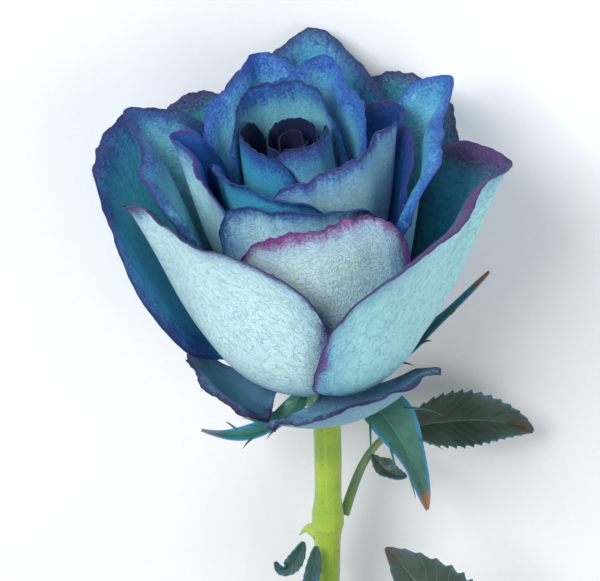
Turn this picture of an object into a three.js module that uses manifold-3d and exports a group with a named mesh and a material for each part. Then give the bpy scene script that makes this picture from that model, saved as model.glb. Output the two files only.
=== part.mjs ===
// A cut rose lying on its back. Millimetres, +Z up; the flower points along +Y, the cut stem end along -Y.
// Its parts are worked out upright (Z along the stem, -Y the front, X the right) and then laid down.
import * as THREE from "three";
import Module from "manifold-3d";

// ---- driving dimensions ----
const STEM_RADIUS = 2.65;
const STEM_LENGTH = 152;
const HIP_LENGTH = 11.5;
const HIP_RADIUS = 6.4;
const PETAL_THICKNESS = 0.45;
const SEPAL_THICKNESS = 0.5;
const LEAF_THICKNESS = 0.45;
const PETIOLE_RADIUS = 0.8;
const HEAD_LEAN_LEFT = 5;
const HEAD_LEAN_FRONT = 3;
const LAY_RISE = 9.1;
const LAY_ROLL = -1.4;
const NODE_HEIGHTS = [-39, -84, -126];
const JOINT_GAP = 0.35;

// Where petals start on the receptacle: layer 0 is the innermost, layer 1 the outermost.
const BASE_RADII = [2.2, 4.8, 7.2];
const BASE_HEIGHTS = [2.6, 1.6, -0.8];

// A petal is set out by: az its facing and half its half spread in degrees; layer; the radius and height of
// its tip; the start and end angle of its profile and the pull of each end; a point on the rim (tip: where,
// tipOut and tipUp: how far, point: how sharp); square, how square its outline is; skew, lean and flare, how
// the rim moves out to one side, rises to one side and opens at both ends; and roll, rim and hold: how far
// its left, middle and right rim rolls back, over what width, and how much of that the point holds back.
const PETAL = {
  half: 60, layer: 0.5, tipR: 30, tipZ: 50, start: 10, end: 70, low: 16, high: 20,
  tip: 0, tipOut: 0, tipUp: 0, point: 0.2, square: 3, skew: 0, lean: 0, flare: 0,
  roll: [30, 30, 30], rim: 5, hold: 0.6, wave: 0.5, seed: 1, offX: 0, claw: 0.36,
};
const PETALS = [
  { name: "guard_front", az: -66, half: 66, layer: 1, tipR: 23, tipZ: 7, start: -22, end: 62, low: 13, high:
    9, tip: 0.85, tipOut: 4, square: 2.6, roll: [70, 60, 70], rim: 3, seed: 2 },
  { name: "guard_left", az: -158, half: 36, layer: 1, tipR: 24.5, tipZ: 8, start: -22, end: 60, low: 13,
    high: 9, square: 2.6, roll: [60, 60, 60], rim: 3, wave: 0.4, seed: 3 },
  { name: "outer_back", az: 55, half: 40, layer: 1, tipR: 36, tipZ: 41, start: -6, end: 55, low: 22, tip:
    0.1, tipOut: 3, point: 0.35, flare: -1, roll: [50, 50, 50], rim: 4, seed: 7 },
  { name: "outer_back_mid", az: 124, half: 29, layer: 0.99, tipR: 36.4, tipZ: 40, start: -10, end: 56, low:
    24, tip: -0.05, tipOut: 3, point: 0.35, flare: 0, roll: [50, 50, 50], rim: 4, skew: 1, seed: 26 },
  { name: "outer_back_left", az: 154, half: 42, layer: 0.95, tipR: 37.2, tipZ: 45, start: -1, end: 58, low:
    21, tip: -0.1, tipOut: 2, square: 3.2, skew: 4, roll: [30, 40, 20], rim: 4, seed: 6 },
  { name: "outer_right", az: -22, half: 72, layer: 0.91, tipR: 33, tipZ: 45, start: 3, end: 58, low: 20,
    high: 21, tip: 0.4, tipOut: 7, tipUp: -5, square: 3.2, skew: -1, lean: 2, roll: [20, 40, 40], rim: 4,
    seed: 4 },
  { name: "outer_left", az: -138, half: 65, layer: 0.86, tipR: 30, tipZ: 48, start: 5, end: 62, low: 20,
    tip: -0.62, tipOut: 4, square: 2.8, skew: -1, roll: [60, 20, 10], seed: 5 },
  { name: "back_tall", az: 90, half: 50, layer: 0.82, tipR: 31, tipZ: 50.2, start: 8, end: 60, low: 17.5,
    tip: -0.12, tipOut: 3.2, tipUp: 2, point: 0.16, skew: -1, roll: [50, 60, 50], seed: 8 },
  { name: "front_mid", az: -81, half: 50, layer: 0.77, tipR: 21, tipZ: 46, start: 12, end: 84, low: 15,
    high: 18, square: 5, lean: 1, flare: 1.5, skew: 1, roll: [20, -10, 10], seed: 9 },
  { name: "right_tall", az: 8, half: 52, layer: 0.72, tipR: 25.5, tipZ: 50.5, start: 14, end: 68, low: 14,
    tip: 0.45, tipOut: 6, tipUp: 1, point: 0.16, square: 4.5, skew: 2, roll: [50, 60, 50], seed: 10 },
  { name: "left_tall", az: 175, half: 46.5, layer: 0.68, tipR: 26.8, tipZ: 50.5, start: 15, end: 66, low:
    14, tip: -0.33, tipOut: 6, tipUp: 2, point: 0.16, square: 3.6, lean: -1.5, skew: 0, roll: [50, 50, 60],
    seed: 11 },
  { name: "back_left_tall", az: 108, half: 48, layer: 0.62, tipR: 23, tipZ: 51, start: 18, end: 74, low:
    12.5, tip: -0.05, tipOut: 5, tipUp: 1, point: 0.16, square: 4, roll: [60, 50, 50], skew: -1.8, seed: 12
    },
  { name: "front_band", az: -92, half: 54, layer: 0.57, tipR: 18.3, tipZ: 49.5, start: 24, end: 88, low: 12,
    high: 18, square: 6, flare: 0.3, roll: [10, 50, 70], rim: 4.5, seed: 13 },
  { name: "right_small", az: 28, half: 48, layer: 0.53, tipR: 19.8, tipZ: 48, start: 25, end: 78, low: 12,
    tip: 0.2, tipOut: 3, square: 4, skew: -1, seed: 14, rim: 4 },
  { name: "left_inner", az: 186, half: 54, layer: 0.505, tipR: 18.6, tipZ: 52, start: 27, end: 80, low: 12,
    tip: -0.25, tipOut: 4, point: 0.16, square: 3.2, roll: [40, 40, 10], rim: 4, seed: 15 },
  { name: "front_left_inner", az: -125, half: 70, layer: 0.45, tipR: 15.8, tipZ: 52, start: 31.5, end: 86,
    low: 11, square: 4.5, skew: 1, roll: [50, 60, 60], rim: 4, seed: 16 },
  { name: "front_right_inner", az: -44, half: 78, layer: 0.395, tipR: 14, tipZ: 52, start: 41, end: 86, low:
    10, high: 18, tip: 0.8, tipOut: 5, square: 7, roll: [0, -10, 0], rim: 4, seed: 18 },
  { name: "back_inner", az: 66, half: 84, layer: 0.34, tipR: 12.8, tipZ: 55.5, start: 43, end: 82, low:
    12.5, high: 18, tip: 0.05, tipOut: 5, tipUp: 2, point: 0.16, square: 6, offX: -1, roll: [30, 50, 40],
    rim: 4.5, seed: 17 },
  { name: "heart_back", az: 100, half: 102, layer: 0.275, tipR: 8.8, tipZ: 57.5, start: 51, end: 102, low:
    8.5, high: 15, square: 5, offX: -2, roll: [10, 20, 10], rim: 4, seed: 19 },
  { name: "heart_left", az: -158, half: 92, layer: 0.235, tipR: 7.8, tipZ: 53, start: 60, end: 97, low: 8.6,
    high: 16, square: 6, offX: -1.8, roll: [0, 0, 0], rim: 3, wave: 0.3, seed: 20 },
  { name: "heart_right", az: -45, half: 92, layer: 0.19, tipR: 7, tipZ: 53.5, start: 66, end: 97, low: 8.3,
    high: 16, square: 6, offX: -1.6, roll: [0, 0, 0], rim: 3, wave: 0.3, seed: 21 },
  { name: "core_a", az: 60, half: 88, layer: 0.135, tipR: 5.2, tipZ: 52, start: 75, end: 96, low: 7.6, high:
    16, square: 7, offX: -1.5, roll: [0, 10, 0], rim: 3, wave: 0.2, seed: 22 },
  { name: "core_b", az: 180, half: 100, layer: 0.085, tipR: 4.1, tipZ: 51.5, start: 79, end: 95, low: 7.9,
    high: 16, square: 7, offX: -1.2, roll: [0, 10, 0], rim: 3, wave: 0.2, seed: 23 },
  { name: "core_c", az: -60, half: 98, layer: 0.04, tipR: 3, tipZ: 51, start: 82, end: 94, low: 7.6, high:
    16, square: 7, offX: -1, roll: [0, 0, 0], rim: 3, wave: 0.15, seed: 24 },
  { name: "core_d", az: 110, half: 112, layer: 0, tipR: 2.2, tipZ: 51.5, start: 84, end: 92, low: 7.6, high:
    16, square: 7, offX: -0.8, roll: [0, 0, 0], rim: 3, wave: 0.1, seed: 25 },
];

// A blade (sepal, leaflet or stipule) is set out by the four points of its midrib curve, the way its upper
// side faces, its widest half width and where along it that comes, and how far it is folded along the midrib.
const SEPALS = [
  { name: "sepal_front", rib: [[5, -4, -4], [12, -9, -6], [16, -13, -14], [18, -14.5, -27]],
    up: [0.7, -0.6, 0.3], width: 5.2, widest: 0.4, fold: 0.5 },
  { name: "sepal_right", rib: [[6.4, 1.5, -4], [14, 4, -8], [24, 6.5, 2], [33, 8.5, 11]],
    up: [-0.3, 0, 1], width: 2.6, widest: 0.3, fold: 0.35 },
  { name: "sepal_back", rib: [[0, 6.6, -4], [-1, 14, -6], [-2, 19, -14], [-3, 19, -26]],
    up: [0, 0.8, 0.5], width: 4.4, widest: 0.35, fold: 0.4 },
  { name: "sepal_left", rib: [[-6.5, 0.5, -4], [-12, 1, -9], [-19, 1.5, -9], [-24, 2, -2]],
    up: [0.2, 0, 1], width: 3, widest: 0.35, fold: 0.4 },
  { name: "sepal_front_left", rib: [[-3.5, -5.5, -4], [-7, -10, -8], [-15, -12.5, -10], [-23, -11, -6.5]],
    up: [0.1, 0, 1], width: 2.6, widest: 0.3, fold: 0.4 },
];
const LEAVES = [
  { name: "leaf_upper", petiole: [[4.9, 3.2, -40], [7, 6, -34], [9, 9, -27], [15, 12, -26.5]], blades: [
    { name: "end", rib: [[16, 12.6, -26.5], [24, 15, -26], [34, 16, -25], [42, 14, -28]],
      up: [0.15, -0.75, 0.65], width: 7.6, widest: 0.45, fold: 0.75 },
    { name: "side", rib: [[10.2, 8, -29.2], [12, 6.6, -31.4], [14, 5, -32.5], [17, 3.5, -31]],
      up: [0.2, -0.5, 0.8], width: 2.4, widest: 0.5, fold: 0.6 },
  ] },
  { name: "leaf_lower", petiole: [[5.4, -1.4, -85], [9, -4, -80], [17, -7, -76], [25, -9, -71]], blades: [
    { name: "end", rib: [[26, -9.3, -70], [27, -11, -60], [21, -13, -46], [12.5, -15, -34]],
      up: [0.4, -0.75, 0.5], width: 9.5, widest: 0.42, fold: 0.35 },
    { name: "right", rib: [[19, -7, -76.4], [25, -6.5, -80], [36, -6, -80], [46, -8, -74]],
      up: [0, -0.7, 0.7], width: 7, widest: 0.42, fold: 0.35 },
    { name: "left", rib: [[15.5, -7.6, -75], [12, -11, -70], [6, -13.5, -64], [0, -14, -54]],
      up: [-0.2, -0.9, 0.4], width: 6, widest: 0.42, fold: 0.35 },
  ] },
];
const STIPULES = [
  { name: "stipule_left", rib: [[-3.1, -0.6, -44], [-4.6, -1.4, -49], [-7.5, -2.2, -52], [-8.5, -3, -47]],
    up: [0, -1, 0.2], width: 1.8, widest: 0.4, fold: 0.4 },
  { name: "stipule_front", rib: [[-0.6, -3.2, -43], [-1, -4.4, -48], [-2.4, -6.2, -53], [-4.4, -6.6, -56]],
    up: [0.1, -1, 0.1], width: 1.7, widest: 0.4, fold: 0.4 },
];
const THORNS = [
  { z: -60, az: 150 },
  { z: -74, az: -60 },
  { z: -101, az: 35 },
  { z: -112, az: -150 },
  { z: -137, az: -20 },
];

const wasm = await Module();
wasm.setup();

const rad = (degrees) => (degrees * Math.PI) / 180;
const mix = (a, b, t) => a + (b - a) * t;
const clamp = (v, a, b) => Math.min(b, Math.max(a, v));

function smooth(v, a, b) {
  const t = clamp((v - a) / (b - a), 0, 1);
  return t * t * (3 - 2 * t);
}

// The value at t of the cubic Bezier curve with the numbers a, b, c and d.
function bezier(t, a, b, c, d) {
  const s = 1 - t;
  return s * s * s * a + 3 * s * s * t * b + 3 * s * t * t * c + t * t * t * d;
}

function alongLayers(values, layer) {
  return layer < 0.5 ? mix(values[0], values[1], layer * 2) : mix(values[1], values[2], layer * 2 - 1);
}

// Where (p, q) lands on the flat petal: p runs -1..1 across, q 0..1 up, and the corners are rounded off.
function outline(petal, p, q) {
  const cut = 0.92 / (petal.square + 1);
  return [p * (1 - cut * Math.abs(q) ** petal.square), q * (1 - cut * Math.abs(p) ** petal.square)];
}

// The petal before its rim rolls: a profile curve in (radius, height), turned about the stem.
function barePetal(petal, p, q) {
  const [x, y] = outline(petal, p, q);
  const baseR = alongLayers(BASE_RADII, petal.layer);
  const baseZ = alongLayers(BASE_HEIGHTS, petal.layer);
  const bump = Math.exp(-(((x - petal.tip) / petal.point) ** 2));
  const rimR = petal.tipR + petal.tipOut * bump + petal.skew * x + 2 * petal.flare * x * x;
  const rimZ = petal.tipZ + petal.tipUp * bump + petal.lean * x;
  const a = rad(petal.start);
  const b = rad(petal.end);
  const pullR = rimR - petal.high * Math.cos(b);
  const pullZ = rimZ - petal.high * Math.sin(b);
  const r = bezier(y, baseR, baseR + petal.low * Math.cos(a), pullR, rimR);
  const z = bezier(y, baseZ, baseZ + petal.low * Math.sin(a), pullZ, rimZ);
  const spread = petal.half * (petal.claw + (1 - petal.claw) * smooth(y, 0, 0.4));
  const az = rad(petal.az + spread * x);
  return new THREE.Vector3(r * Math.cos(az) + petal.offX * y, r * Math.sin(az), z);
}

// Slopes of a surface at (p, q): along p, along q, and its unit normal.
function slopes(surface, p, q) {
  const e = 1e-3;
  const dp = surface(p + e, q).sub(surface(p - e, q)).divideScalar(2 * e);
  const dq = surface(p, q + e).sub(surface(p, q - e)).divideScalar(2 * e);
  return { dp, dq, normal: new THREE.Vector3().crossVectors(dp, dq).normalize() };
}

// The petal with its rim rolled outward along an arc and its slow waves added.
function petalPoint(petal, p, q) {
  const at = barePetal(petal, p, q);
  const { dp, dq, normal } = slopes((u, v) => barePetal(petal, u, v), p, q);
  const [x] = outline(petal, p, q);
  const sideways = clamp(1 - ((1 - Math.abs(p)) * dp.length()) / petal.rim, 0, 1.2) * smooth(q, 0.15, 0.5);
  const upward = clamp(1 - ((1 - q) * dq.length()) / petal.rim, 0, 1.2);
  const near = Math.min(Math.hypot(sideways, upward), 1.15);
  const toRim = dp.normalize().multiplyScalar(sideways * Math.sign(p)).addScaledVector(dq.normalize(), upward);
  if (toRim.length() > 1e-6) toRim.normalize();
  const [left, middle, right] = petal.roll;
  const asked = mix(middle, x < 0 ? left : right, smooth(Math.abs(x), 0.1, 0.8));
  const kept = 1 - petal.hold * Math.exp(-(((x - petal.tip) / 0.16) ** 2));
  const turn = rad(asked * kept) || 1e-3;
  const radius = petal.rim / turn;
  const arc = near * petal.rim;
  at.addScaledVector(toRim, radius * Math.sin(arc / radius) - arc);
  at.addScaledVector(normal, radius * (1 - Math.cos(arc / radius)));
  const phase = (i) => petal.seed * i * 2.4;
  const edge = clamp(1 - (1 - p * p) * (1 - q * q), 0, 1) ** 3;
  const slow = Math.sin(5 * x + phase(1)) + 0.6 * Math.sin(9.3 * x + phase(2) + 2 * q);
  const ripple = slow + 0.35 * Math.sin(17 * x + phase(3));
  const swell = 0.5 * Math.sin(4 * x + 5 * q + phase(4)) * Math.sin(6 * q + phase(5)) * smooth(q, 0.2, 0.6);
  return at.addScaledVector(normal, petal.wave * (edge * ripple + 0.6 * swell));
}

// A blade: a cubic midrib, half widths that swell and taper, and both halves folded up about the midrib.
function bladePoint(blade, p, q) {
  const e = 1e-3;
  const curve = (t) => new THREE.Vector3(...[0, 1, 2].map((i) => bezier(t, ...blade.rib.map((v) => v[i]))));
  const along = curve(q + e).sub(curve(q - e)).normalize();
  const across = new THREE.Vector3().crossVectors(along, new THREE.Vector3(...blade.up)).normalize();
  const above = new THREE.Vector3().crossVectors(across, along);
  const place = clamp(q, 0, 1) ** (Math.log(0.5) / Math.log(blade.widest));
  const half = 0.35 + (blade.width - 0.35) * Math.sin(Math.PI * place) ** 0.85;
  const folded = rad(60) * blade.fold;
  const rise = half * Math.sin(folded) * (Math.sqrt(p * p + 0.04) - 0.2);
  return curve(q).addScaledVector(across, p * half * Math.cos(folded)).addScaledVector(above, rise);
}

// A closed sheet of the given thickness along a surface over p in -1..1 and q in 0..1.
function sheet(surface, across, up, thickness) {
  const front = [];
  const back = [];
  for (let j = 0; j <= up; j++) {
    for (let i = 0; i <= across; i++) {
      const s = (2 * i) / across - 1;
      const p = Math.sign(s) * (1 - (1 - Math.abs(s)) ** 1.3);
      const q = 1 - (1 - j / up) ** 1.2;
      const { normal } = slopes(surface, p, q);
      const at = surface(p, q);
      const half = thickness * 0.5 * mix(0.6, 1, smooth(q, 0, 0.3));
      front.push(at.clone().addScaledVector(normal, half));
      back.push(at.clone().addScaledVector(normal, -half));
    }
  }
  const row = across + 1;
  const count = front.length;
  const faces = [];
  const quad = (a, b, c, d) => faces.push(a, b, c, a, c, d);
  for (let j = 0; j < up; j++) {
    for (let i = 0; i < across; i++) {
      const a = j * row + i;
      quad(a, a + 1, a + row + 1, a + row);
      quad(count + a, count + a + row, count + a + row + 1, count + a + 1);
    }
  }
  for (let i = 0; i < across; i++) {
    const top = up * row + i;
    quad(i + 1, i, count + i, count + i + 1);
    quad(top, top + 1, count + top + 1, count + top);
  }
  for (let j = 0; j < up; j++) {
    const left = j * row;
    const right = left + across;
    quad(left, left + row, count + left + row, count + left);
    quad(right + row, right, count + right, count + right + row);
  }
  return meshOf([...front, ...back], faces);
}

function meshOf(points, faces) {
  const geometry = new THREE.BufferGeometry().setFromPoints(points);
  geometry.setIndex(faces);
  return geometry;
}

// A closed tube along a curve, with the given radius at each place and a flat or slanted end.
function tube(curve, radius, steps, sides, slant = 0) {
  const points = [];
  const faces = [];
  const e = 1e-3;
  for (let j = 0; j <= steps; j++) {
    const t = j / steps;
    const along = curve(t + e).sub(curve(t - e)).normalize();
    const side = new THREE.Vector3().crossVectors(along, new THREE.Vector3(0.3, 1, 0.1)).normalize();
    const other = new THREE.Vector3().crossVectors(along, side);
    for (let i = 0; i < sides; i++) {
      const a = (2 * Math.PI * i) / sides;
      const shift = j === steps ? slant * Math.cos(a) : 0;
      const at = curve(t).addScaledVector(side, radius(t, a) * Math.cos(a));
      points.push(at.addScaledVector(other, radius(t, a) * Math.sin(a)).addScaledVector(along, shift));
    }
  }
  for (let j = 0; j < steps; j++) {
    for (let i = 0; i < sides; i++) {
      const a = j * sides + i;
      const b = j * sides + ((i + 1) % sides);
      faces.push(a, b, b + sides, a, b + sides, a + sides);
    }
  }
  const last = steps * sides;
  for (let i = 1; i < sides - 1; i++) {
    faces.push(0, i + 1, i);
    faces.push(last, last + i, last + i + 1);
  }
  return meshOf(points, faces);
}

function curveThrough(points) {
  return (t) => new THREE.Vector3(...[0, 1, 2].map((i) => bezier(t, ...points.map((v) => v[i]))));
}

function solidOf(geometry) {
  const vertProperties = new Float32Array(geometry.getAttribute("position").array);
  const triVerts = new Uint32Array(geometry.index.array);
  return new wasm.Manifold(new wasm.Mesh({ numProp: 3, vertProperties, triVerts }));
}

function geometryOf(solid) {
  const mesh = solid.getMesh();
  const positions = [];
  for (let i = 0; i < mesh.numVert; i++) {
    positions.push(...mesh.vertProperties.subarray(i * mesh.numProp, i * mesh.numProp + 3));
  }
  const geometry = new THREE.BufferGeometry();
  geometry.setAttribute("position", new THREE.Float32BufferAttribute(positions, 3));
  geometry.setIndex([...mesh.triVerts]);
  return geometry;
}

function joined(geometries) {
  return geometryOf(wasm.Manifold.union(geometries.map(solidOf)));
}

// ---- the pieces, upright ----
const HEAD = new THREE.Matrix4()
  .makeRotationY(rad(-HEAD_LEAN_LEFT))
  .multiply(new THREE.Matrix4().makeRotationX(rad(HEAD_LEAN_FRONT)));

const stemTop = new THREE.Vector3(0, 0, -HIP_LENGTH - 1 - JOINT_GAP).applyMatrix4(HEAD);
const stemStart = new THREE.Vector3(0, 0, -HIP_LENGTH - 16).applyMatrix4(HEAD);
const stemCurve = curveThrough([
  stemTop.toArray(),
  stemStart.toArray(),
  [1.2, 0.8, -STEM_LENGTH * 0.6],
  [-1.5, 0, -STEM_LENGTH],
]);

function stemRadius(t, a) {
  const z = stemCurve(t).z;
  const swell = NODE_HEIGHTS.map((node) => 0.55 * Math.exp(-(((z - node) / 3.2) ** 2)));
  return STEM_RADIUS * mix(1, 0.93, t) + swell.reduce((sum, v) => sum + v, 0) + 0.05 * Math.cos(3 * a);
}

function thorn(place) {
  const t = -(place.z + HIP_LENGTH) / (STEM_LENGTH - HIP_LENGTH);
  const root = stemCurve(t);
  const out = new THREE.Vector3(Math.cos(rad(place.az)), Math.sin(rad(place.az)), 0);
  const from = root.clone().addScaledVector(out, STEM_RADIUS * 0.7);
  const middle = root.clone().addScaledVector(out, STEM_RADIUS + 2);
  const tip = root.clone().addScaledVector(out, STEM_RADIUS + 3.6).add(new THREE.Vector3(0, 0, -2.6));
  const curve = curveThrough([from.toArray(), middle.toArray(), middle.toArray(), tip.toArray()]);
  return tube(curve, (s) => mix(1.5, 0.15, s ** 0.7), 3, 6);
}

function hip() {
  const profile = [[0, -1 - HIP_LENGTH], [2.7, -1 - HIP_LENGTH], [3.3, -10.6], [5, -8.4]];
  profile.push([HIP_RADIUS, -5.2], [HIP_RADIUS, -3.4], [6.6, -1.9], [6.3, -1.1], [4.5, 1], [1.9, 2.1]);
  profile.push([1.3, 1.9], [0, 1.9]);
  return new THREE.LatheGeometry(profile.map((v) => new THREE.Vector2(...v)), 24).rotateX(Math.PI / 2);
}

// The pistil column and the ring of stamens around it, one body.
function heart() {
  const parts = [tube((t) => new THREE.Vector3(0, 0, mix(2.3, 10, t)), (t) => mix(0.5, 0.9, t * t), 4, 8)];
  parts.push(tube((t) => new THREE.Vector3(0, 0, mix(2.3, 3, t)), () => 1.25, 1, 10));
  for (let i = 0; i < 7; i++) {
    const a = (2 * Math.PI * i) / 7;
    const out = (t) => mix(1, 1.35, t);
    const curve = (t) => new THREE.Vector3(Math.cos(a) * out(t), Math.sin(a) * out(t), mix(2.5, 8.6, t));
    parts.push(tube(curve, (t) => (t > 0.7 ? 0.42 : 0.2), 5, 5));
  }
  return joined(parts);
}

const pieces = [];
function add(name, geometry, colour, roughness, head) {
  if (head) geometry.applyMatrix4(HEAD);
  pieces.push({ name, geometry, colour, roughness });
}

for (const given of PETALS) {
  const petal = { ...PETAL, ...given };
  const geometry = sheet((p, q) => petalPoint(petal, p, q), petal.half > 80 ? 10 : 8, 7, PETAL_THICKNESS);
  const colour = new THREE.Color(0x1c4f9c).lerp(new THREE.Color(0x9fdbe4), petal.layer);
  add("petal_" + petal.name, geometry, colour, 0.6, true);
}
for (const sepal of SEPALS) {
  add(sepal.name, sheet((p, q) => bladePoint(sepal, p, q), 4, 9, SEPAL_THICKNESS), 0x2f5a4a, 0.7, true);
}
add("hip", hip(), 0x4f8f45, 0.55, true);
add("stamens", heart(), 0xc9a64a, 0.7, true);
const cutSlant = 2;
const stem = [tube(stemCurve, stemRadius, 34, 12, cutSlant), ...THORNS.map(thorn)];
add("stem", joined(stem), 0x8fb93a, 0.5, false);
for (const leaf of LEAVES) {
  const petiole = curveThrough(leaf.petiole);
  const radius = (t) => PETIOLE_RADIUS * mix(1.3, 0.8, t);
  add(leaf.name + "_stalk", tube(petiole, radius, 8, 7), 0x5f8a3c, 0.6, false);
  for (const blade of leaf.blades) {
    const geometry = sheet((p, q) => bladePoint(blade, p, q), 6, 10, LEAF_THICKNESS);
    add(leaf.name + "_" + blade.name, geometry, 0x3d5548, 0.65);
  }
}
for (const stipule of STIPULES) {
  add(stipule.name, sheet((p, q) => bladePoint(stipule, p, q), 4, 6, LEAF_THICKNESS), 0x2f5a4a, 0.65);
}

// ---- laid down: its front turned up, its lowest point on the floor, centred over the origin ----
const LAID = new THREE.Matrix4()
  .makeRotationY(rad(LAY_ROLL))
  .multiply(new THREE.Matrix4().makeRotationX(rad(LAY_RISE - 90)));
const box = new THREE.Box3();
for (const piece of pieces) {
  piece.geometry.applyMatrix4(LAID);
  piece.geometry.computeBoundingBox();
  box.union(piece.geometry.boundingBox);
}
const middle = box.getCenter(new THREE.Vector3());

const rose = new THREE.Group();
for (const { name, geometry, colour, roughness } of pieces) {
  geometry.translate(-middle.x, -middle.y, -box.min.z);
  geometry.computeVertexNormals();
  const material = new THREE.MeshStandardMaterial({ color: colour, roughness, metalness: 0 });
  const mesh = new THREE.Mesh(geometry, material);
  mesh.name = name;
  rose.add(mesh);
}
export default rose;
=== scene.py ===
import math
import bpy
import numpy as np
from mathutils import Matrix, Vector


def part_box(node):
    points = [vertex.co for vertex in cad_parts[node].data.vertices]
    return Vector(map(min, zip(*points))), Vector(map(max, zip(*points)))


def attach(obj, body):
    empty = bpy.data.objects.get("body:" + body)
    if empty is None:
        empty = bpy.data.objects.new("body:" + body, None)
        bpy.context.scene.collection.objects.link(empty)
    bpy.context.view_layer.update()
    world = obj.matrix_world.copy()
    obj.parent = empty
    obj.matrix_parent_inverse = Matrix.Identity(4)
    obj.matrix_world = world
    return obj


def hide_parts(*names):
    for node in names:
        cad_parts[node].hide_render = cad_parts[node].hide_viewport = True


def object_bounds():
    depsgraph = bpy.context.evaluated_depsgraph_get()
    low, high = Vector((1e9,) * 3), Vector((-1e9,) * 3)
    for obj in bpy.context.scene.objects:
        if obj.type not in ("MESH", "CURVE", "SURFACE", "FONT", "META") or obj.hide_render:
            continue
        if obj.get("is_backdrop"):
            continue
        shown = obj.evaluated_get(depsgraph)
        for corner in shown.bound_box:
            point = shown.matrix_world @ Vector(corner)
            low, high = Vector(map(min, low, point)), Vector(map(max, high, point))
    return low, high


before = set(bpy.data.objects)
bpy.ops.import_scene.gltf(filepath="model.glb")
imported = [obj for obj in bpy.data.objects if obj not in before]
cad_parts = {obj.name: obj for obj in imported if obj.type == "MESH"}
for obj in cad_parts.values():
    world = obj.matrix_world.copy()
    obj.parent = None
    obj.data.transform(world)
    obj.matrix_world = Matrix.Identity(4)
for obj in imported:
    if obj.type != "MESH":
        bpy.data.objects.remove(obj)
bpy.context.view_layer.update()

# ---- sizes, in millimetres and degrees, in the upright flower's own frame ----
STEM_RADIUS = 2.65
STEM_LENGTH = 152
HIP_LENGTH = 11.5
HIP_RADIUS = 6.4
PETIOLE_RADIUS = 0.8
HEAD_LEAN_LEFT = 5
HEAD_LEAN_FRONT = 3
LAY_RISE = 9.1
LAY_ROLL = -1.4
NODE_HEIGHTS = (-39, -84, -126)
JOINT_GAP = 0.35
BASE_LAYERS = (0, 0.5, 1)
BASE_RADII = (2.2, 4.8, 7.2)
BASE_HEIGHTS = (2.6, 1.6, -0.8)

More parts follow.
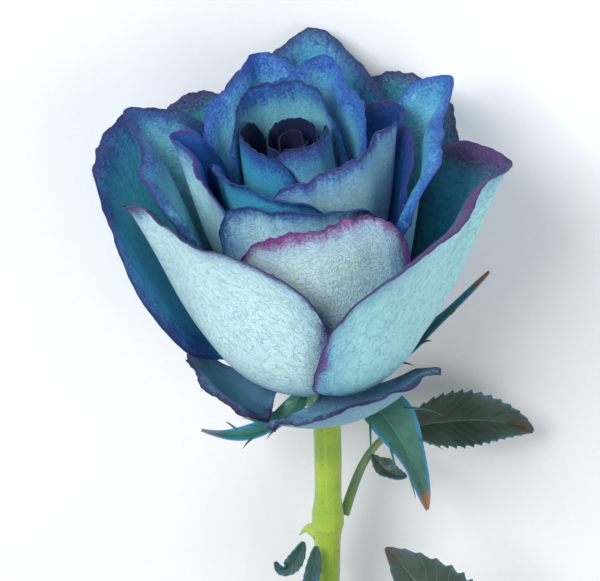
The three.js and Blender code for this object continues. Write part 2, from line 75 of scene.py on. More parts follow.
PETAL = dict(
    half=60, layer=0.5, tip_r=30, tip_z=50, start=10, end=70, low=16, high=20,
    tip=0, tip_out=0, tip_up=0, point=0.2, square=3, skew=0, lean=0, flare=0,
    roll=(30, 30, 30), rim=5, hold=0.6, wave=0.5, seed=1, off_x=0, claw=0.36,
)
PETALS = {
    "guard_front": dict(az=-66, half=66, layer=1, tip_r=23, tip_z=7, start=-22, end=62, low=13, high=9,
        tip=0.85, tip_out=4, square=2.6, roll=(70, 60, 70), rim=3, seed=2),
    "guard_left": dict(az=-158, half=36, layer=1, tip_r=24.5, tip_z=8, start=-22, end=60, low=13, high=9,
        square=2.6, roll=(60, 60, 60), rim=3, wave=0.4, seed=3),
    "outer_back": dict(az=55, half=40, layer=1, tip_r=36, tip_z=41, start=-6, end=55, low=22, tip=0.1,
        tip_out=3, point=0.35, flare=-1, roll=(50, 50, 50), rim=4, seed=7),
    "outer_back_mid": dict(az=124, half=29, layer=0.99, tip_r=36.4, tip_z=40, start=-10, end=56, low=24,
        tip=-0.05, tip_out=3, point=0.35, flare=0, roll=(50, 50, 50), rim=4, skew=1, seed=26),
    "outer_back_left": dict(az=154, half=42, layer=0.95, tip_r=37.2, tip_z=45, start=-1, end=58, low=21,
        tip=-0.1, tip_out=2, square=3.2, skew=4, roll=(30, 40, 20), rim=4, seed=6),
    "outer_right": dict(az=-22, half=72, layer=0.91, tip_r=33, tip_z=45, start=3, end=58, low=20, high=21,
        tip=0.4, tip_out=7, tip_up=-5, square=3.2, skew=-1, lean=2, roll=(20, 40, 40), rim=4, seed=4),
    "outer_left": dict(az=-138, half=65, layer=0.86, tip_r=30, tip_z=48, start=5, end=62, low=20,
        tip=-0.62, tip_out=4, square=2.8, skew=-1, roll=(60, 20, 10), seed=5),
    "back_tall": dict(az=90, half=50, layer=0.82, tip_r=31, tip_z=50.2, start=8, end=60, low=17.5,
        tip=-0.12, tip_out=3.2, tip_up=2, point=0.16, skew=-1, roll=(50, 60, 50), seed=8),
    "front_mid": dict(az=-81, half=50, layer=0.77, tip_r=21, tip_z=46, start=12, end=84, low=15, high=18,
        square=5, lean=1, flare=1.5, skew=1, roll=(20, -10, 10), seed=9),
    "right_tall": dict(az=8, half=52, layer=0.72, tip_r=25.5, tip_z=50.5, start=14, end=68, low=14,
        tip=0.45, tip_out=6, tip_up=1, point=0.16, square=4.5, skew=2, roll=(50, 60, 50), seed=10),
    "left_tall": dict(az=175, half=46.5, layer=0.68, tip_r=26.8, tip_z=50.5, start=15, end=66, low=14,
        tip=-0.33, tip_out=6, tip_up=2, point=0.16, square=3.6, lean=-1.5, skew=0, roll=(50, 50, 60),
        seed=11),
    "back_left_tall": dict(az=108, half=48, layer=0.62, tip_r=23, tip_z=51, start=18, end=74, low=12.5,
        tip=-0.05, tip_out=5, tip_up=1, point=0.16, square=4, roll=(60, 50, 50), skew=-1.8, seed=12),
    "front_band": dict(az=-92, half=54, layer=0.57, tip_r=18.3, tip_z=49.5, start=24, end=88, low=12,
        high=18, square=6, flare=0.3, roll=(10, 50, 70), rim=4.5, seed=13),
    "right_small": dict(az=28, half=48, layer=0.53, tip_r=19.8, tip_z=48, start=25, end=78, low=12,
        tip=0.2, tip_out=3, square=4, skew=-1, seed=14, rim=4),
    "left_inner": dict(az=186, half=54, layer=0.505, tip_r=18.6, tip_z=52, start=27, end=80, low=12,
        tip=-0.25, tip_out=4, point=0.16, square=3.2, roll=(40, 40, 10), rim=4, seed=15),
    "front_left_inner": dict(az=-125, half=70, layer=0.45, tip_r=15.8, tip_z=52, start=31.5, end=86,
        low=11, square=4.5, skew=1, roll=(50, 60, 60), rim=4, seed=16),
    "front_right_inner": dict(az=-44, half=78, layer=0.395, tip_r=14, tip_z=52, start=41, end=86, low=10,
        high=18, tip=0.8, tip_out=5, square=7, roll=(0, -10, 0), rim=4, seed=18),
    "back_inner": dict(az=66, half=84, layer=0.34, tip_r=12.8, tip_z=55.5, start=43, end=82, low=12.5,
        high=18, tip=0.05, tip_out=5, tip_up=2, point=0.16, square=6, off_x=-1, roll=(30, 50, 40),
        rim=4.5, seed=17),
    "heart_back": dict(az=100, half=102, layer=0.275, tip_r=8.8, tip_z=57.5, start=51, end=102, low=8.5,
        high=15, square=5, off_x=-2, roll=(10, 20, 10), rim=4, seed=19),
    "heart_left": dict(az=-158, half=92, layer=0.235, tip_r=7.8, tip_z=53, start=60, end=97, low=8.6,
        high=16, square=6, off_x=-1.8, roll=(0, 0, 0), rim=3, wave=0.3, seed=20),
    "heart_right": dict(az=-45, half=92, layer=0.19, tip_r=7, tip_z=53.5, start=66, end=97, low=8.3,
        high=16, square=6, off_x=-1.6, roll=(0, 0, 0), rim=3, wave=0.3, seed=21),
    "core_a": dict(az=60, half=88, layer=0.135, tip_r=5.2, tip_z=52, start=75, end=96, low=7.6, high=16,
        square=7, off_x=-1.5, roll=(0, 10, 0), rim=3, wave=0.2, seed=22),
    "core_b": dict(az=180, half=100, layer=0.085, tip_r=4.1, tip_z=51.5, start=79, end=95, low=7.9,
        high=16, square=7, off_x=-1.2, roll=(0, 10, 0), rim=3, wave=0.2, seed=23),
    "core_c": dict(az=-60, half=98, layer=0.04, tip_r=3, tip_z=51, start=82, end=94, low=7.6, high=16,
        square=7, off_x=-1, roll=(0, 0, 0), rim=3, wave=0.15, seed=24),
    "core_d": dict(az=110, half=112, layer=0, tip_r=2.2, tip_z=51.5, start=84, end=92, low=7.6, high=16,
        square=7, off_x=-0.8, roll=(0, 0, 0), rim=3, wave=0.1, seed=25),
}

# ---- petal colours: on each face the middle, the wash toward the rim and the dyed rim; then the edge ----
PALE = (0.50, 0.82, 0.86)
AQUA = (0.24, 0.66, 0.76)
TURQUOISE = (0.06, 0.44, 0.58)
TEAL = (0.02, 0.26, 0.38)
AZURE = (0.02, 0.22, 0.54)
ROYAL = (0.006, 0.06, 0.32)
NAVY = (0.003, 0.010, 0.065)
INDIGO = (0.022, 0.016, 0.11)
PURPLE = (0.07, 0.022, 0.17)
MAGENTA = (0.22, 0.03, 0.22)
LOOK = dict(out=PALE, wash_out=(0.10, 0.46, 0.66), rim_out=PURPLE, wide_out=11.0, band_out=4.5,
            middle=AQUA, wash_in=AZURE, rim_in=ROYAL, wide_in=17.0, band_in=7.0, edge=INDIGO)
INWARD = dict(out=PALE, wash_out=(0.03, 0.24, 0.54), rim_out=ROYAL, edge=NAVY, wide_out=12.0, band_out=6.0)
DEEP = dict(out=AZURE, wash_out=ROYAL, rim_out=NAVY, middle=NAVY, wash_in=NAVY, rim_in=NAVY, edge=NAVY)
LOOKS = {
    # the guards' inner faces darken to near black toward the rim: partly their dark dyed rolled rim, partly painted
    # shade of the narrow band between their rims and the outer petals
    "guard_front": dict(out=(0.26, 0.62, 0.70), wash_out=(0.20, 0.32, 0.52), band_out=2.6, edge=NAVY,
                        middle=(0.16, 0.46, 0.58), wash_in=(0.06, 0.12, 0.28), rim_in=(0.03, 0.015, 0.08),
                        wide_in=8.0, band_in=4.0),
    "guard_left": dict(out=AQUA, wash_out=(0.20, 0.42, 0.56), band_out=2.6, middle=(0.08, 0.30, 0.42),
                       wash_in=(0.05, 0.09, 0.24), rim_in=(0.03, 0.015, 0.08), wide_in=8.0, band_in=4.0,
                       edge=NAVY),
    "outer_back": dict(middle=TURQUOISE, wash_in=TEAL, rim_in=INDIGO, band_in=8.0),
    "outer_back_mid": dict(middle=TURQUOISE, wash_in=TEAL, rim_in=INDIGO, band_in=8.0),
    "outer_back_left": dict(middle=TURQUOISE, wash_in=(0.006, 0.10, 0.32), rim_in=(0.005, 0.02, 0.13),
                            band_in=7.0, edge=NAVY),
    "outer_right": dict(middle=TURQUOISE, wash_in=(0.06, 0.17, 0.30), rim_in=(0.075, 0.022, 0.12), band_in=11.0,
                        out=(0.40, 0.80, 0.84), wash_out=(0.12, 0.40, 0.66), rim_out=(0.10, 0.03, 0.22)),
    # outer_left's inner face is painted near-black indigo and navy: painted shade of the hollow under its curled tip,
    # not the petal's own colour
    "outer_left": dict(middle=INDIGO, wash_in=NAVY, rim_in=INDIGO, rim_out=(0.09, 0.025, 0.20), band_out=6.0,
                       wash_out=(0.16, 0.44, 0.68), out=(0.58, 0.86, 0.88), wide_out=10.0),
    "back_tall": dict(middle=TURQUOISE, wash_in=(0.01, 0.12, 0.32), rim_in=(0.006, 0.025, 0.14), wide_in=14.0,
                      edge=NAVY),
    "front_mid": dict(rim_out=MAGENTA, wash_out=(0.25, 0.40, 0.66), middle=ROYAL, wash_in=NAVY, edge=PURPLE,
                      band_out=5.5, out=(0.62, 0.86, 0.88)),
    "right_tall": dict(middle=AQUA, wash_in=(0.02, 0.25, 0.52), edge=ROYAL),
    "left_tall": dict(middle=AQUA, wash_in=(0.008, 0.15, 0.38), rim_in=(0.005, 0.04, 0.22), edge=NAVY,
                      wide_in=14.0),
    "back_left_tall": dict(middle=AQUA, wash_in=AZURE, rim_in=ROYAL, edge=ROYAL, wide_in=17.0),
    "front_band": {**INWARD, "wide_out": 11.0, "rim_out": (0.01, 0.05, 0.27), "middle": ROYAL},
    "right_small": dict(middle=AZURE, wash_in=ROYAL, rim_in=(0.008, 0.03, 0.18)),
    "left_inner": {**INWARD, "middle": AZURE, "wash_in": ROYAL, "edge": PURPLE},
    "front_left_inner": {**INWARD, "out": TURQUOISE, "middle": ROYAL, "wash_in": ROYAL, "band_out": 6.5},
    "front_right_inner": dict(out=(0.44, 0.78, 0.84), wash_out=AZURE, rim_out=(0.03, 0.03, 0.26), edge=INDIGO,
                              middle=AZURE, wash_in=ROYAL, band_out=4.5, wide_out=10.0),
    "back_inner": dict(middle=AQUA, wash_in=AZURE, rim_in=ROYAL, edge=ROYAL),
    "heart_back": {**INWARD, "out": AZURE, "middle": AQUA, "wash_in": AZURE, "rim_in": ROYAL, "wide_in": 12.0},
    "heart_left": dict(out=TURQUOISE, wash_out=AZURE, rim_out=(0.012, 0.04, 0.25), middle=NAVY, wash_in=NAVY,
                       rim_in=NAVY, wide_out=13.0, band_out=6.0, edge=NAVY),
    "heart_right": dict(out=AQUA, wash_out=AZURE, rim_out=(0.02, 0.03, 0.22), middle=NAVY, wash_in=NAVY,
                        rim_in=NAVY, wide_out=12.0, band_out=5.0, edge=NAVY),
    "core_a": DEEP,
    "core_b": DEEP,
    "core_c": DEEP,
    "core_d": {**DEEP, "out": (0.16, 0.42, 0.74), "wash_out": AZURE},
}

SEPALS = {
    "sepal_front": dict(rib=((5, -4, -4), (12, -9, -6), (16, -13, -14), (18, -14.5, -27)),
                        up=(0.7, -0.6, 0.3), width=5.2, widest=0.4, fold=0.5),
    "sepal_right": dict(rib=((6.4, 1.5, -4), (14, 4, -8), (24, 6.5, 2), (33, 8.5, 11)),
                        up=(-0.3, 0, 1), width=2.6, widest=0.3, fold=0.35),
    "sepal_back": dict(rib=((0, 6.6, -4), (-1, 14, -6), (-2, 19, -14), (-3, 19, -26)),
                       up=(0, 0.8, 0.5), width=4.4, widest=0.35, fold=0.4),
    "sepal_left": dict(rib=((-6.5, 0.5, -4), (-12, 1, -9), (-19, 1.5, -9), (-24, 2, -2)),
                       up=(0.2, 0, 1), width=3, widest=0.35, fold=0.4),
    "sepal_front_left": dict(rib=((-3.5, -5.5, -4), (-7, -10, -8), (-15, -12.5, -10), (-23, -11, -6.5)),
                             up=(0.1, 0, 1), width=2.6, widest=0.3, fold=0.4),
}
STALKS = {
    "leaf_upper_stalk": ((4.9, 3.2, -40), (7, 6, -34), (9, 9, -27), (15, 12, -26.5)),
    "leaf_lower_stalk": ((5.4, -1.4, -85), (9, -4, -80), (17, -7, -76), (25, -9, -71)),
}
LEAFLETS = {
    "leaf_upper_end": dict(rib=((16, 12.6, -26.5), (24, 15, -26), (34, 16, -25), (42, 14, -28)),
                           up=(0.15, -0.75, 0.65), width=7.6, widest=0.45, fold=0.75),
    "leaf_upper_side": dict(rib=((10.2, 8, -29.2), (12, 6.6, -31.4), (14, 5, -32.5), (17, 3.5, -31)),
                            up=(0.2, -0.5, 0.8), width=2.4, widest=0.5, fold=0.6),
    "leaf_lower_end": dict(rib=((26, -9.3, -70), (27, -11, -60), (21, -13, -46), (12.5, -15, -34)),
                           up=(0.4, -0.75, 0.5), width=9.5, widest=0.42, fold=0.35),
    "leaf_lower_right": dict(rib=((19, -7, -76.4), (25, -6.5, -80), (36, -6, -80), (46, -8, -74)),
                             up=(0, -0.7, 0.7), width=7, widest=0.42, fold=0.35),
    "leaf_lower_left": dict(rib=((15.5, -7.6, -75), (12, -11, -70), (6, -13.5, -64), (0, -14, -54)),
                            up=(-0.2, -0.9, 0.4), width=6, widest=0.42, fold=0.35),
}
STIPULES = {
    "stipule_left": dict(rib=((-3.1, -0.6, -44), (-4.6, -1.4, -49), (-7.5, -2.2, -52), (-8.5, -3, -47)),
                         up=(0, -1, 0.2), width=1.8, widest=0.4, fold=0.4),
    "stipule_front": dict(rib=((-0.6, -3.2, -43), (-1, -4.4, -48), (-2.4, -6.2, -53), (-4.4, -6.6, -56)),
                          up=(0.1, -1, 0.1), width=1.7, widest=0.4, fold=0.4),
}
THORNS = ((-60, 150), (-74, -60), (-101, 35), (-112, -150), (-137, -20))


# ---- shapes: whole-array numpy functions ----
def smooth(v, a, b):
    """0 below a, 1 above b, and 3t^2 - 2t^3 between."""
    t = np.clip((v - a) / (b - a), 0, 1)
    return t * t * (3 - 2 * t)


def unit(v):
    return v / np.maximum(np.linalg.norm(v, axis=-1, keepdims=True), 1e-9)


def bezier(t, points):
    """The cubic Bezier curve through four points, (1-t)^3 A + 3(1-t)^2 t B + 3(1-t) t^2 C + t^3 D."""
    t = np.asarray(t, float)[..., None]
    a, b, c, d = (np.asarray(v, float) for v in points)
    s = 1 - t
    return s**3 * a + 3 * s * s * t * b + 3 * s * t * t * c + t**3 * d


def noise(u, v, seed, octaves=4):
    """Smooth waviness: sines of u and v whose pace doubles and whose height halves at each octave."""
    total = 0
    for k in range(octaves):
        f = 1.9**k
        a, b, c = (math.sin(seed * 12.9898 + k * 7.13 + j * 3.71) * 43.7585 for j in range(3))
        total = total + 0.55**k * np.sin(f * u + a + 1.3 * np.sin(f * v + b)) * np.cos(f * v * 0.83 + c)
    return total


def outline(p, q, m):
    """p in -1..1 across and q in 0..1 up, pulled in by 0.92/(n+1) |q|^n and |p|^n, so the corners round off."""
    n = m["square"]
    cut = 0.92 / (n + 1)
    return p * (1 - cut * np.abs(q) ** n), q * (1 - cut * np.abs(p) ** n)


def bare_petal(p, q, m):
    """A cubic profile in (radius, height) from the receptacle to the rim, turned about the stem by the
    petal's facing plus its spread times x, the rim pushed out, up and to one side."""
    x, y = outline(p, q, m)
    base_r = np.interp(m["layer"], BASE_LAYERS, BASE_RADII)
    base_z = np.interp(m["layer"], BASE_LAYERS, BASE_HEIGHTS)
    bump = np.exp(-(((x - m["tip"]) / m["point"]) ** 2))
    rim_r = m["tip_r"] + m["tip_out"] * bump + m["skew"] * x + 2 * m["flare"] * x * x
    rim_z = m["tip_z"] + m["tip_up"] * bump + m["lean"] * x
    a, b = math.radians(m["start"]), math.radians(m["end"])
    s = 1 - y
    c0, c1, c2, c3 = s**3, 3 * s * s * y, 3 * s * y * y, y**3
    r = c0 * base_r + c1 * (base_r + m["low"] * math.cos(a)) + c2 * (rim_r - m["high"] * math.cos(b)) + c3 * rim_r
    z = c0 * base_z + c1 * (base_z + m["low"] * math.sin(a)) + c2 * (rim_z - m["high"] * math.sin(b)) + c3 * rim_z
    az = np.radians(m["az"] + m["half"] * x * (m["claw"] + (1 - m["claw"]) * smooth(y, 0, 0.4)))
    return np.stack([r * np.cos(az) + m["off_x"] * y, r * np.sin(az), z], -1)


def slopes(surface, p, q):
    """Central differences of a surface along p and q."""
    e = 1e-3
    dp = (surface(p + e, q) - surface(p - e, q)) / (2 * e)
    dq = (surface(p, q + e) - surface(p, q - e)) / (2 * e)
    return dp, dq


def petal_surface(m):
    """The petal: its rim rolls outward on an arc of the asked angle, slow waves lift it, and the last
    millimetres are crimped and nicked by finer waves that fade inward."""

    def surface(p, q):
        bare = bare_petal(p, q, m)
        dp, dq = slopes(lambda u, v: bare_petal(u, v, m), p, q)
        out = unit(np.cross(dp, dq))
        lp, lq = np.linalg.norm(dp, axis=-1), np.linalg.norm(dq, axis=-1)
        sideways = np.clip(1 - (1 - np.abs(p)) * lp / m["rim"], 0, 1.2) * smooth(q, 0.15, 0.5)
        upward = np.clip(1 - (1 - q) * lq / m["rim"], 0, 1.2)
        near = np.minimum(np.hypot(sideways, upward), 1.15)
        to_rim = unit((sideways * np.sign(p))[..., None] * unit(dp) + upward[..., None] * unit(dq) + 1e-9)
        x, y = outline(p, q, m)
        left, middle, right = m["roll"]
        asked = middle + (np.where(x < 0, left, right) - middle) * smooth(np.abs(x), 0.1, 0.8)
        turn = np.radians(asked * (1 - m["hold"] * np.exp(-(((x - m["tip"]) / 0.16) ** 2))))
        turn = np.where(np.abs(turn) < 1e-3, 1e-3, turn)
        radius, arc = m["rim"] / turn, near * m["rim"]
        at = bare + (radius * np.sin(arc / radius) - arc)[..., None] * to_rim
        at = at + (radius * (1 - np.cos(arc / radius)))[..., None] * out
        phase = [m["seed"] * i * 2.4 for i in range(6)]
        edge = np.clip(1 - (1 - p * p) * (1 - q * q), 0, 1) ** 3
        ripple = np.sin(5 * x + phase[1]) + 0.6 * np.sin(9.3 * x + phase[2] + 2 * q)
        ripple = ripple + 0.35 * np.sin(17 * x + phase[3])
        swell = 0.5 * np.sin(4 * x + 5 * q + phase[4]) * np.sin(6 * q + phase[5]) * smooth(q, 0.2, 0.6)
        lift = m["wave"] * (edge * ripple + 0.6 * swell)
        crimp = m["wave"] * 0.4 * edge**3 * noise(22 * x, 5 * y, m["seed"])
        relief = 0.035 * m["wave"] * np.sin(60 * x + 3 * np.sin(7 * y)) * smooth(y, 0.05, 0.3)
        at = at + (lift + crimp + relief)[..., None] * out
        nick = 0.5 * m["wave"] * edge**8 * (noise(34 * x, 9 * y, m["seed"] + 40, 5) - 0.6)
        return at + nick[..., None] * to_rim

    return surface


def blade_surface(m, teeth=0, depth=0.0, curl=0.0):
    """A cubic midrib with half widths width * sin(pi q^k)^0.85, both halves folded up about the midrib,
    the rim toothed by a rounded sawtooth and gently waved."""
    up = np.array(m["up"], float)

    def surface(p, q):
        e = 1e-3
        along = unit(bezier(q + e, m["rib"]) - bezier(q - e, m["rib"]))
        across = unit(np.cross(along, up))
        above = np.cross(across, along)
        place = np.clip(q, 0, 1) ** (math.log(0.5) / math.log(m["widest"]))
        half = 0.35 + (m["width"] - 0.35) * np.sin(math.pi * place) ** 0.85
        saw = np.mod(q * teeth, 1.0)
        tooth = saw**1.6 * (1 - smooth(saw, 0.82, 1.0)) * smooth(np.abs(p), 0.7, 1.0)
        half = half * (1 + depth * (tooth - 0.35))
        folded = math.radians(60) * m["fold"]
        rise = half * math.sin(folded) * (np.sqrt(p * p + 0.04) - 0.2)
        wavy = curl * np.sin(9 * q + 1.7 * np.sign(p)) * p * p * half * 0.12
        vein = -0.05 * m["width"] / 8 * np.exp(-((p / 0.05) ** 2))
        quilt = 0.02 * m["width"] * np.sin(34 * q - 7 * np.abs(p)) * np.abs(p) * (1 - p * p)
        lift = rise + wavy + vein + quilt * (1 if teeth else 0)
        sideways = p * half * math.cos(folded)
        return bezier(q, m["rib"]) + sideways[..., None] * across + lift[..., None] * above

    return surface


def thick_sheet(surface, across, up, thickness):
    """Points and faces of a closed sheet: the surface moved half a thickness both ways along its normal,
    thinner at the rim, and joined round the outside. Also p, q, the side and the distance to the rim."""
    s = np.linspace(-1, 1, across + 1)
    p, q = np.meshgrid(np.sign(s) * (1 - (1 - np.abs(s)) ** 1.35), 1 - (1 - np.linspace(0, 1, up + 1)) ** 1.25)
    at = surface(p, q)
    dp, dq = slopes(surface, p, q)
    out = unit(np.cross(dp, dq))
    side_mm = (1 - np.abs(p)) * np.linalg.norm(dp, axis=-1) + 30 * (1 - smooth(q, 0.0, 0.35))
    top_mm = (1 - q) * np.linalg.norm(dq, axis=-1)
    rim = np.minimum(side_mm, top_mm) - 0.15 * np.exp(-((side_mm - top_mm) ** 2) / 4)
    half = (thickness * 0.5 * (0.55 + 0.45 * smooth(rim, 0, 2.5)))[..., None]
    points = np.concatenate([(at + out * half).reshape(-1, 3), (at - out * half).reshape(-1, 3)])
    index = np.arange(p.size).reshape(p.shape)
    a, b, c, d = index[:-1, :-1], index[:-1, 1:], index[1:, 1:], index[1:, :-1]
    front = np.stack([a, b, c, d], -1).reshape(-1, 4)
    back = front[:, ::-1] + p.size
    ring = np.concatenate([index[0, :-1], index[:-1, -1], index[-1, :0:-1], index[:0:-1, 0]])
    after = np.roll(ring, -1)
    wall = np.stack([after, ring, ring + p.size, after + p.size], -1)
    facts = dict(
        p=np.tile(p.ravel(), 2),
        q=np.tile(q.ravel(), 2),
        side=np.repeat([1.0, 0.0], p.size),
        rim=np.tile(np.maximum(rim, 0).ravel(), 2),
    )
    return points, np.concatenate([front, back, wall]), np.zeros((0, 3), int), facts


def skin(rings):
    """Points, quads and cap triangles round a stack of rings, each end closed by a fan to its middle."""
    count, sides = rings.shape[:2]
    points = np.concatenate([rings.reshape(-1, 3), rings[:1].mean(1), rings[-1:].mean(1)])
    index = np.arange(count * sides).reshape(count, sides)
    after = np.roll(index, -1, 1)
    quads = np.stack([index[:-1], after[:-1], after[1:], index[1:]], -1).reshape(-1, 4)
    low = np.stack([after[0], index[0], np.full(sides, len(points) - 2)], -1)
    high = np.stack([index[-1], after[-1], np.full(sides, len(points) - 1)], -1)
    return points, quads, np.concatenate([low, high])


def tube(curve, radius, steps, sides, slant=0.0):
    """A closed tube: circles of radius(t, angle) across curve(t), the last one slanted, both ends capped
    by shrinking rings that meet in a point."""
    t = np.linspace(0, 1, steps + 1)
    a = np.arange(sides) * 2 * math.pi / sides
    tt, aa = np.meshgrid(t, a, indexing="ij")
    e = 1e-3
    along = unit(curve(t + e) - curve(t - e))
    side = unit(np.cross(along, np.array([0.3, 1.0, 0.1])))
    other = np.cross(along, side)
    r = radius(tt, aa)[..., None]
    shift = (np.where(tt > 1 - 1e-9, slant, 0.0) * np.cos(aa))[..., None]
    rings = curve(t)[:, None] + r * np.cos(aa)[..., None] * side[:, None]
    rings = rings + r * np.sin(aa)[..., None] * other[:, None] + shift * along[:, None]
    points, quads, caps = skin(rings)
    facts = dict(
        p=np.concatenate([aa.ravel(), [0, 0]]),
        q=np.concatenate([tt.ravel(), [0, 1]]),
        side=np.ones(len(points)),
        rim=np.concatenate([np.full(tt.size, 9.0), [0, 0]]),
    )
    return points, quads, caps, facts


def lathe(profile, sides, ribs=0.0):
    """A profile of (radius, height) pairs, smoothed by linear steps and turned about Z with five soft ribs."""
    profile = np.array(profile, float)
    t = np.linspace(0, len(profile) - 1, 12 * (len(profile) - 1) + 1)
    r = np.interp(t, np.arange(len(profile)), profile[:, 0])
    z = np.interp(t, np.arange(len(profile)), profile[:, 1])
    soft = np.convolve(np.pad(r, 6, mode="edge"), np.ones(13) / 13, mode="valid")
    soft_z = np.convolve(np.pad(z, 6, mode="edge"), np.ones(13) / 13, mode="valid")
    a = np.arange(sides) * 2 * math.pi / sides
    swell = 1 + ribs * np.cos(5 * a) ** 3
    rings = np.stack([soft[:, None] * np.cos(a) * swell, soft[:, None] * np.sin(a) * swell,
                      soft_z[:, None] + 0 * a], -1)
    points, quads, caps = skin(rings)
    facts = dict(
        p=np.concatenate([np.tile(a, len(t)), [0, 0]]),
        q=np.concatenate([np.repeat(t / t[-1], sides), [0, 1]]),
        side=np.ones(len(points)),
        rim=np.full(len(points), 9.0),
    )
    return points, quads, caps, facts


def together(*shapes):
    """Several closed shapes as one set of points, quads, triangles and facts."""
    starts = np.cumsum([0] + [len(shape[0]) for shape in shapes])
    points = np.concatenate([shape[0] for shape in shapes])
    quads = np.concatenate([shape[1] + start for shape, start in zip(shapes, starts)])
    caps = np.concatenate([shape[2] + start for shape, start in zip(shapes, starts)])
    facts = {key: np.concatenate([shape[3][key] for shape in shapes]) for key in shapes[0][3]}
    return points, quads, caps, facts


def leaned(shape):
    """The same shape, tipped with the flower's head."""
    points, quads, caps, facts = shape
    return points @ HEAD.T, quads, caps, facts


# ---- shader maths ----
class Value:
    """A number that changes over a surface; + - * / and ** on it add Math nodes."""

    def __init__(self, look, socket):
        self.look = look
        self.socket = socket

    def join(self, operation, first, second):
        made = self.look.node("ShaderNodeMath", {"operation": operation}, {0: first, 1: second})
        return Value(self.look, made.outputs[0])

    def __add__(self, other):
        return self.join("ADD", self, other)

    def __radd__(self, other):
        return self.join("ADD", other, self)

    def __sub__(self, other):
        return self.join("SUBTRACT", self, other)

    def __rsub__(self, other):
        return self.join("SUBTRACT", other, self)

    def __mul__(self, other):
        return self.join("MULTIPLY", self, other)

    def __rmul__(self, other):
        return self.join("MULTIPLY", other, self)

    def __pow__(self, other):
        return self.join("POWER", self, other)

    def __abs__(self):
        return self.join("ABSOLUTE", self, 0.0)

    def ramp(self, low, high):
        """0 at low, 1 at high, smoothly between."""
        settings = {"interpolation_type": "SMOOTHSTEP"}
        return Value(self.look, self.look.node("ShaderNodeMapRange", settings, {0: self, 1: low, 2: high}).outputs[0])


class Look:
    """One material and its nodes."""

    def __init__(self, name, roughness, under=0.0, coat=0.0):
        self.material = bpy.data.materials.new(name)
        self.material.use_nodes = True
        self.tree = self.material.node_tree
        self.shader = self.tree.nodes["Principled BSDF"]
        self.shader.inputs["Roughness"].default_value = roughness
        self.shader.inputs["Subsurface Weight"].default_value = under
        self.shader.inputs["Subsurface Scale"].default_value = 0.002
        self.shader.inputs["Coat Weight"].default_value = coat
        self.place = self.node("ShaderNodeTexCoord").outputs["Object"]

    def node(self, kind, settings=None, values=None):
        made = self.tree.nodes.new(kind)
        for key, value in (settings or {}).items():
            setattr(made, key, value)
        for key, value in (values or {}).items():
            if isinstance(value, Value):
                value = value.socket
            if isinstance(value, bpy.types.NodeSocket):
                self.tree.links.new(value, made.inputs[key])
            else:
                made.inputs[key].default_value = value
        return made

    def fact(self, name):
        return Value(self, self.node("ShaderNodeAttribute", {"attribute_name": name}).outputs["Fac"])

    def noise(self, scale, detail=3.0, at=None):
        values = {"Vector": at or self.place, "Scale": scale, "Detail": detail}
        return Value(self, self.node("ShaderNodeTexNoise", None, values).outputs["Fac"])

    def point(self, x, y, z):
        return self.node("ShaderNodeCombineXYZ", None, {0: x, 1: y, 2: z}).outputs[0]

    def mix(self, factor, first, second):
        first, second = (v if isinstance(v, bpy.types.NodeSocket) else (*v, 1) for v in (first, second))
        made = self.node("ShaderNodeMix", {"data_type": "RGBA"}, {0: factor, 6: first, 7: second})
        return made.outputs[2]

    def finish(self, colour, height, depth):
        """The colour, and a bump of the given depth in metres."""
        self.tree.links.new(colour, self.shader.inputs["Base Color"])
        bump = self.node("ShaderNodeBump", None, {"Strength": 1.0, "Distance": depth, "Height": height})
        self.tree.links.new(bump.outputs[0], self.shader.inputs["Normal"])
        return self.material


def veins(look, across, along, spread, run, width):
    """Thin branching lines that fan up the petal: where a stretched noise crosses its middle value."""
    n = look.noise(1.0, 2.0, look.point(across * spread, along * run, along * across * 1.7))
    return 1 - abs(n - 0.5).ramp(0.0, width)


def petal_look(name):
    """On both faces a mottled middle with fine veins, darker toward the foot (partly the dye's tint, partly painted
    shade down in the cup), a wide wash toward the rim, then a stippled dyed rim; over both, the dark worn edge."""
    wanted = {**LOOK, **LOOKS[name]}
    look = Look("dyed_" + name, 0.58, under=0.1)
    across, along = look.fact("across"), look.fact("along")
    side, rim = look.fact("side").ramp(0.3, 0.7), look.fact("rim")
    seed = PETALS[name].get("seed", 1) * 3.1
    coarse = veins(look, across + seed, along, 11.0, 1.3, 0.045)
    fine = veins(look, across + seed, along, 34.0, 6.0, 0.08)
    cloud = look.noise(120.0, 5.0)
    blotch = look.noise(420.0, 3.0)
    speck = look.noise(2100.0, 1.0)
    streak = look.noise(1.0, 3.0, look.point(across * 30.0, along * 3.0, seed))
    # painted shade: toward the petal's foot the colour darkens into the wash, partly the dye's deeper tint there,
    # partly painted shade down in the cup
    foot = 1 - along.ramp(0.0, 0.55)
    reach = rim + (cloud - 0.5) * 8.0 + (streak - 0.5) * 3.0
    faces = []
    for middle, wash, dye, wide, band in (
        ("middle", "wash_in", "rim_in", "wide_in", "band_in"),
        ("out", "wash_out", "rim_out", "wide_out", "band_out"),
    ):
        colour = look.mix(blotch.ramp(0.35, 0.75) * 0.12, wanted[middle], wanted[wash])
        # the foot's darkening mixed in here: partly dye tint, partly painted shade
        colour = look.mix(foot * 0.6, colour, wanted[wash])
        washed = (1 - reach.ramp(-2.0, wanted[wide])) * 0.95
        colour = look.mix(washed, colour, wanted[wash])
        shade = tuple(0.55 * c for c in wanted[wash])
        colour = look.mix((coarse * 0.26 + fine * 0.14) * (1 - washed * 0.5), colour, shade)
        near = 1 - reach.ramp(-1.5, wanted[band] * 1.5)
        dots = (near * 1.7 + speck * 1.5 + blotch * 0.6 - 1.6).ramp(0.0, 1.25) * 0.96
        faces.append(look.mix(dots, colour, wanted[dye]))
    colour = look.mix(side, *faces)
    worn = 1 - (rim + (blotch - 0.5) * 2.2).ramp(-0.1, 1.0)
    colour = look.mix(worn * 0.8, colour, wanted["edge"])
    return look.finish(colour, coarse * 0.5 + fine * 0.35 + speck * 0.3 + streak * 0.6, 0.00014)


